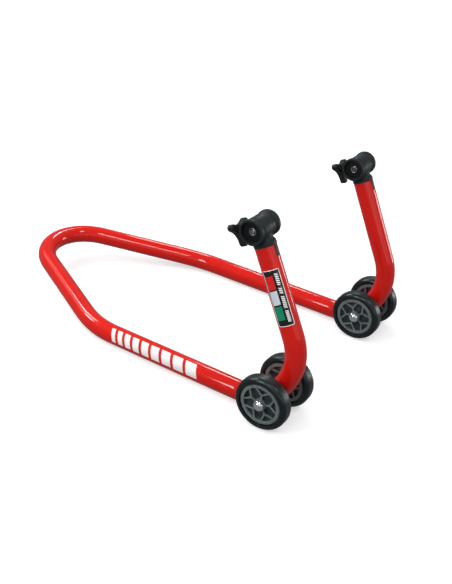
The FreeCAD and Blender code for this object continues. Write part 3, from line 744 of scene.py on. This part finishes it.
def stripe_material():
    """White cut film, faintly soiled."""
    film = settings().film
    material, tree, shader = new_material("white_film", Coat_Weight=0.4, Coat_Roughness=0.1)
    soil = calculate(tree, "MAXIMUM", use_group(tree, "Hairlines", size=0.008, amount=0.3),
                     use_group(tree, "Mottle", size=0.014, low=0.0, high=0.12))
    feed(tree, shader, "Base Color", mix_colours(tree, soil, film.stripe, shaded(film.stripe, tone=0.5)))
    feed(tree, shader, "Roughness", use_group(tree, "Mottle", size=0.01, low=0.28, high=0.42))
    feed_relief(tree, shader, use_group(tree, "Fine Relief", size=0.004, fine=0.1), depth=0.00002)
    return material


# --- Weld beads -----------------------------------------------------------------------

def weld_seam(angle, side, way):
    """Point where a sleeve meets the bent tube, at an angle round the sleeve, and the way out of it."""
    rise = math.acos(1 - (AXLE_CENTRE.z - TUBE_RADIUS) / FOOT_BEND_RADIUS)
    centre_x = AXLE_CENTRE.x - FOOT_BEND_RADIUS * math.sin(rise)
    centre_z = TUBE_RADIUS + FOOT_BEND_RADIUS
    out = Vector((math.cos(angle), 0.0, math.sin(angle)))
    seam = Vector((AXLE_CENTRE.x, 0.0, AXLE_CENTRE.z)) + out * AXLE_SLEEVE_RADIUS
    off_line = math.hypot(seam.x - centre_x, seam.z - centre_z) - FOOT_BEND_RADIUS
    depth = math.sqrt(TUBE_RADIUS ** 2 - off_line ** 2)
    seam.y = side * TUBE_CENTRE_Y + way * depth
    return seam, out


def weld_bead(mesh, side, way):
    """Add one bead round a sleeve to a mesh, with ripples that curve across it."""
    weld = settings().weld
    steps_per_ripple, corners, small_turn = 8, 14, 0.01
    lift = 0.3 * weld.bead_radius
    ripple_curve = 0.5
    steps = steps_per_ripple * weld.ripple_count
    rings = []
    for step in range(steps):
        angle = 2 * math.pi * step / steps
        seam, out = weld_seam(angle, side, way)
        along = (weld_seam(angle + small_turn, side, way)[0] - seam).normalized()
        beside = along.cross(out).normalized()
        centre = seam + (out + Vector((0.0, way, 0.0))) * lift
        ring = []
        for corner in range(corners):
            turn = 2 * math.pi * corner / corners
            phase = weld.ripple_count * angle / 2 + ripple_curve * math.cos(turn)
            radius = weld.bead_radius - weld.ripple_depth * (1 - abs(math.sin(phase)))
            offset = out * math.cos(turn) + beside * math.sin(turn)
            ring.append(mesh.verts.new(centre + offset * radius))
        rings.append(ring)
    for ring, after in zip(rings, rings[1:] + rings[:1]):
        for corner in range(corners):
            following = (corner + 1) % corners
            mesh.faces.new((ring[corner], ring[following], after[following], after[corner]))


def new_object(name, data):
    """Object with the given data, in the scene."""
    made = bpy.data.objects.new(name, data)
    bpy.context.scene.collection.objects.link(made)
    return made


def object_from(mesh, name, material):
    """Smooth object made from a bmesh, with its faces turned outward."""
    bmesh.ops.recalc_face_normals(mesh, faces=mesh.faces)
    data = bpy.data.meshes.new(name)
    mesh.to_mesh(data)
    mesh.free()
    data.materials.append(material)
    data.shade_smooth()
    return new_object(name, data)


# --- Studio ---------------------------------------------------------------------------

def floor_material():
    """Pale matt floor, lit from below, that turns into the backdrop far from the stand."""
    studio = settings().studio
    material, tree, shader = new_material("pale_floor", Roughness=0.9, Emission_Strength=1.0)
    fade_start, fade_end = 1.2, 3.6
    from_stand = add(tree, "ShaderNodeVectorMath", {0: object_place(tree)}, operation="LENGTH")
    far = remap(tree, from_stand.outputs["Value"], fade_start, fade_end, smooth=True)
    patches = use_group(tree, "Mottle", size=0.35)
    ground = mix_colours(tree, patches, studio.floor, shaded(studio.floor, tone=0.985))
    feed(tree, shader, "Base Color", mix_colours(tree, far, ground, BLACK))
    lit = mix_colours(tree, studio.floor_glow, BLACK, ground)
    feed(tree, shader, "Emission Color", mix_colours(tree, far, lit, studio.backdrop))
    return material


def add_floor():
    """Wide round floor just under the stand."""
    radius, gap = 14.0, 0.0002
    mesh = bmesh.new()
    bmesh.ops.create_circle(mesh, cap_ends=True, segments=96, radius=radius)
    floor = object_from(mesh, "floor", floor_material())
    floor.location.z = CAD_BOX[0].z - gap
    floor.visible_diffuse = False
    floor.visible_glossy = False


def add_softbox(name, bearing, height, distance, size, brightness, in_gloss):
    """Rectangular light in a direction from the stand, turned to it."""
    light = bpy.data.lights.new(name, "AREA")
    light.shape = "RECTANGLE"
    light.size, light.size_y = size
    light.energy = brightness * math.pi * light.size * light.size_y
    lamp = new_object(name, light)
    rise, turn = math.radians(height), math.radians(bearing)
    outward = Vector((math.cos(rise) * math.cos(turn), math.cos(rise) * math.sin(turn), math.sin(rise)))
    lamp.location = STAND_MIDDLE + outward * distance
    lamp.rotation_euler = (-outward).to_track_quat("-Z", "Y").to_euler()
    lamp.visible_glossy = in_gloss
    lamp.visible_camera = False


def add_camera():
    """Camera in front of the heads on the right, looking down on the stand."""
    studio = settings().studio
    sideways = Vector((math.sin(studio.azimuth), -math.cos(studio.azimuth), 0.0))
    back = sideways * math.cos(studio.elevation) + Vector((0.0, 0.0, math.sin(studio.elevation)))
    lens = bpy.data.cameras.new("camera")
    lens.lens = studio.lens
    lens.sensor_width = 36.0
    lens.clip_start = 0.05
    lens.clip_end = 60.0
    camera = new_object("camera", lens)
    aim = STAND_MIDDLE + Vector(studio.aim)
    turn = Matrix.Rotation(studio.roll, 4, back) @ back.to_track_quat("Z", "Y").to_matrix().to_4x4()
    camera.matrix_world = Matrix.Translation(aim + back * studio.distance) @ turn
    bpy.context.scene.camera = camera


def add_sky():
    """Dim light from all round, in front of a pale backdrop that lights nothing."""
    studio = settings().studio
    world = bpy.data.worlds.new("studio")
    world.use_nodes = True
    tree = world.node_tree
    around = tree.nodes["Background"]
    around.inputs["Color"].default_value = opaque(studio.sky)
    around.inputs["Strength"].default_value = studio.sky_strength
    backdrop = add(tree, "ShaderNodeBackground", {"Color": opaque(studio.backdrop)})
    seen = add(tree, "ShaderNodeLightPath").outputs["Is Camera Ray"]
    both = add(tree, "ShaderNodeMixShader", {0: seen, 1: around.outputs[0], 2: backdrop.outputs[0]})
    tree.links.new(both.outputs[0], tree.nodes["World Output"].inputs["Surface"])
    bpy.context.scene.world = world


# Each light: its name, bearing and height in degrees seen from the stand, distance and size in
# metres, brightness, and whether it shows in gloss
SOFTBOXES = (
    ("handle_light", 181.3, 46.4, 3.0, (0.42, 0.45), 22.0, True),
    ("corner_light", 204.0, 35.0, 3.0, (0.35, 0.35), 32.0, True),
    ("far_light", 118.5, 41.0, 3.0, (0.45, 0.45), 19.0, True),
    ("near_strip", 257.0, 28.0, 1.7, (0.28, 0.55), 14.0, True),
    ("camera_light", 287.0, 48.5, 3.0, (0.52, 0.42), 15.0, True),
    ("front_light", 0.0, 55.0, 3.0, (0.40, 0.40), 22.0, True),
    ("low_window", 47.0, 2.5, 3.0, (0.75, 0.65), 9.0, True),
    ("handle_panel", 186.0, 35.0, 3.0, (1.50, 1.10), 1.3, True),
    ("wide_panel", 300.0, 20.0, 2.6, (4.40, 1.30), 0.45, True),
    ("front_panel", 352.0, 13.0, 2.6, (2.20, 1.10), 0.55, True),
    ("low_fill_handle", 200.0, 12.0, 2.6, (1.20, 1.20), 1.0, False),
    ("low_fill_near", 250.0, 15.0, 2.6, (1.20, 1.20), 1.1, False),
    ("ceiling", 0.0, 90.0, 6.0, (16.0, 16.0), 0.64, False),
)


# --- Operators: one for each group of pieces ------------------------------------------

class PADDOCK_OT_frame(bpy.types.Operator):
    """Powder coat the tube frame and its axle sleeves"""

    bl_idname = "paddock_stand.frame"
    bl_label = "Tube frame"

    def execute(self, context):
        dress(["frame_tube"] + on_both_sides("axle_sleeve"), paint_material())
        return {"FINISHED"}


class PADDOCK_OT_welds(bpy.types.Operator):
    """Lay rippled weld beads round the axle sleeves"""

    bl_idname = "paddock_stand.welds"
    bl_label = "Weld beads"

    def execute(self, context):
        for name, side in zip(SIDES, (-1, 1)):
            mesh = bmesh.new()
            for way in (-1, 1):
                weld_bead(mesh, side, way)
            beads = object_from(mesh, "weld_beads_" + name, bpy.data.materials["red_powder_coat"])
            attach(beads, "frame")
            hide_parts("axle_welds_" + name)
        return {"FINISHED"}


class PADDOCK_OT_tyres(bpy.types.Operator):
    """Finish the rubber tyres"""

    bl_idname = "paddock_stand.tyres"
    bl_label = "Tyres"

    def execute(self, context):
        dress(at_each_wheel("tyre"), rubber_material())
        return {"FINISHED"}


class PADDOCK_OT_rims(bpy.types.Operator):
    """Finish the rims and their hub bushes"""

    bl_idname = "paddock_stand.rims"
    bl_label = "Rims"

    def execute(self, context):
        dress(at_each_wheel("rim"), rim_material())
        dress(at_each_wheel("hub_bush"), nylon_material())
        return {"FINISHED"}


class PADDOCK_OT_axles(bpy.types.Operator):
    """Finish the axles, their washers, rings and domed caps"""

    bl_idname = "paddock_stand.axles"
    bl_label = "Axles"

    def execute(self, context):
        metal = settings().metal
        zinc = metal_material("zinc_plate", metal.zinc, roughness=0.30)
        spring = metal_material("spring_steel", metal.spring, roughness=0.40)
        chrome = metal_material("chrome_plate", metal.chrome, roughness=0.07, wear=0.12, tone=0.93)
        dress(on_both_sides("axle", "thrust_washers"), zinc)
        dress(on_both_sides("push_rings"), spring)
        dress(on_both_sides("axle_caps"), chrome)
        return {"FINISHED"}


class PADDOCK_OT_heads(bpy.types.Operator):
    """Finish the moulded heads, their liners and inserts"""

    bl_idname = "paddock_stand.heads"
    bl_label = "Heads"

    def execute(self, context):
        moulding, metal = settings().moulding, settings().metal
        plastic = moulding_material(
            "head_plastic", moulding.head_colour, moulding.grain_size, recessed=True)
        steel = metal_material("polished_steel", metal.steel, roughness=0.09, wear=0.05, rounding=0.0014)
        brass = metal_material("turned_brass", metal.brass, roughness=0.28)
        dress(on_both_sides("head"), plastic)
        dress(on_both_sides("bore_liner"), steel)
        dress(on_both_sides("clamp_insert"), brass)
        return {"FINISHED"}


class PADDOCK_OT_clamps(bpy.types.Operator):
    """Finish the clamp screws, their pads and the lobed knobs"""

    bl_idname = "paddock_stand.clamps"
    bl_label = "Clamps"

    def execute(self, context):
        moulding = settings().moulding
        grain_size = 1.6 * moulding.grain_size      # coarser than on the heads
        plastic = moulding_material("knob_plastic", moulding.knob_colour, grain_size)
        dress(on_both_sides("clamp_screw", "pressure_pad"), bpy.data.materials["zinc_plate"])
        dress(on_both_sides("knob"), plastic)
        return {"FINISHED"}


class PADDOCK_OT_films(bpy.types.Operator):
    """Finish the printed labels and the white stripes"""

    bl_idname = "paddock_stand.films"
    bl_label = "Printed films"

    def execute(self, context):
        dress(on_both_sides("upright_label"), label_material())
        dress(on_both_sides("side_stripe"), stripe_material())
        return {"FINISHED"}


class PADDOCK_OT_studio(bpy.types.Operator):
    """Set up the floor, the soft lights and the camera"""

    bl_idname = "paddock_stand.studio"
    bl_label = "Studio"

    def execute(self, context):
        add_floor()
        add_sky()
        for name, *places in SOFTBOXES:
            add_softbox(name, *places)
        add_camera()
        context.scene.view_settings.view_transform = "Standard"
        return {"FINISHED"}


class PADDOCK_PT_finish(bpy.types.Panel):
    """Sizes, colours and steps of the stand's finish"""

    bl_idname = "PADDOCK_PT_finish"
    bl_label = "Paddock Stand"
    bl_space_type = "VIEW_3D"
    bl_region_type = "UI"
    bl_category = "Paddock Stand"

    def draw(self, context):
        stand = context.scene.paddock_stand
        for group in stand.bl_rna.properties:
            if group.type != "POINTER" or group.identifier == "rna_type":
                continue
            box = self.layout.box()
            box.label(text=group.name)
            values = getattr(stand, group.identifier)
            for value in values.bl_rna.properties:
                if value.identifier not in ("rna_type", "name"):
                    box.prop(values, value.identifier)
        for step in STEPS:
            self.layout.operator(step.bl_idname)


SETTINGS = (PaintSettings, RubberSettings, RimSettings, MouldingSettings, MetalSettings, PrintSettings,
            WeldSettings, StudioSettings, StandSettings)
STEPS = (PADDOCK_OT_frame, PADDOCK_OT_welds, PADDOCK_OT_tyres, PADDOCK_OT_rims, PADDOCK_OT_axles,
         PADDOCK_OT_heads, PADDOCK_OT_clamps, PADDOCK_OT_films, PADDOCK_OT_studio)


def register():
    """Register the classes and put the settings on the scene."""
    for made in SETTINGS + STEPS + (PADDOCK_PT_finish,):
        bpy.utils.register_class(made)
    bpy.types.Scene.paddock_stand = bpy.props.PointerProperty(type=StandSettings)


def unregister():
    """Take the settings and the classes away again."""
    del bpy.types.Scene.paddock_stand
    for made in reversed(SETTINGS + STEPS + (PADDOCK_PT_finish,)):
        bpy.utils.unregister_class(made)


def main():
    """Register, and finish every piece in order."""
    register()
    make_shared_effects()
    for step in STEPS:
        group, name = step.bl_idname.split(".")
        getattr(getattr(bpy.ops, group), name)()


if __name__ == "__main__":
    main()
